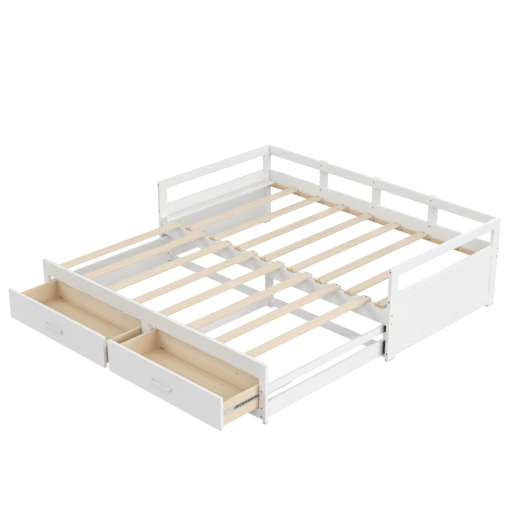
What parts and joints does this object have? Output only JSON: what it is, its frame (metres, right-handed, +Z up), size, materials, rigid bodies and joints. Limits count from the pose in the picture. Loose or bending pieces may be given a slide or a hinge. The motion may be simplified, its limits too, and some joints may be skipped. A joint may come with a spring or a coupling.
{
  "type": "daybed with pull-out half and drawers",
  "caption": "White extendable daybed with low ends and a back rail; a slatted half pulls out along the floor and carries storage drawers in its front.",
  "frame": {"origin": "on the floor, under the middle of the overall box with the pull-out unit and both drawers out", "axes": "+X to the right along the bed's length, +Y from the drawers to the back rail, +Z up"},
  "size_m": [1.98, 2.3784, 0.589],
  "materials": {
    "white_paint": "satin white paint on pine and board",
    "pine": "bare planed pine",
    "drawer_wood": "clear-coated wood drawer sides",
    "drawer_plywood": "clear-coated plywood",
    "white_handle": "satin white",
    "zinc_steel": "zinc-plated",
    "white_steel": "light grey coated",
    "dark_bolts": "black oxide bolt heads and screws"
  },
  "bodies": {
    "fixed_unit": {"left_front_stile": "white_paint", "left_rear_stile": "white_paint", "left_top_rail": "white_paint", "left_mid_rail": "white_paint", "left_bottom_rail": "white_paint", "left_inset_panel": "white_paint", "right_front_stile": "white_paint", "right_rear_stile": "white_paint", "right_top_rail": "white_paint", "right_mid_rail": "white_paint", "right_bottom_rail": "white_paint", "right_inset_panel": "white_paint", "back_upper_rail": "white_paint", "back_lower_rail": "white_paint", "back_strut_1": "white_paint", "back_strut_2": "white_paint", "back_strut_3": "white_paint", "slat_ledger": "pine", "fixed_front_rail": "white_paint", "white_side_board": "white_paint", "fixed_slat_1": "pine", "fixed_slat_2": "pine", "fixed_slat_3": "pine", "fixed_slat_4": "pine", "fixed_slat_5": "pine", "fixed_slat_6": "pine", "fixed_slat_7": "pine", "fixed_slat_8": "pine"},
    "pullout_unit": {"pullout_front_panel": "white_paint", "pullout_rear_frame": "white_paint", "pullout_left_upper_rail": "white_paint", "pullout_left_lower_rail": "white_paint", "pullout_right_upper_rail": "white_paint", "pullout_right_lower_rail": "white_paint", "pullout_centre_rail": "white_paint", "drawer_divider": "pine", "pullout_slat_1": "pine", "pullout_slat_2": "pine", "pullout_slat_3": "pine", "pullout_slat_4": "pine", "pullout_slat_5": "pine", "pullout_slat_6": "pine", "pullout_slat_7": "pine", "pullout_slat_8": "pine", "left_outer_channel": "white_steel", "left_inner_channel": "white_steel", "right_outer_channel": "white_steel", "right_inner_channel": "white_steel"},
    "left_drawer": {"left_drawer_front": "white_paint", "left_drawer_box": "drawer_wood", "left_drawer_bottom": "drawer_plywood", "left_drawer_handle": "white_handle", "left_outer_runner": "zinc_steel", "left_inner_runner": "zinc_steel"},
    "right_drawer": {"right_drawer_front": "white_paint", "right_drawer_box": "drawer_wood", "right_drawer_bottom": "drawer_plywood", "right_drawer_handle": "white_handle", "right_outer_runner": "zinc_steel", "right_inner_runner": "zinc_steel"}
  },
  "joints": [
    {"name": "pullout_slide", "type": "slide", "parent": "fixed_unit", "child": "pullout_unit", "axis": [0, 1, 0], "range_m": [0, 0.948]},
    {"name": "left_drawer_slide", "type": "slide", "parent": "pullout_unit", "child": "left_drawer", "axis": [0, 1, 0], "range_m": [-0.012, 0.2676]},
    {"name": "right_drawer_slide", "type": "slide", "parent": "pullout_unit", "child": "right_drawer", "axis": [0, 1, 0], "range_m": [-0.012, 0.2676]}
  ]
}
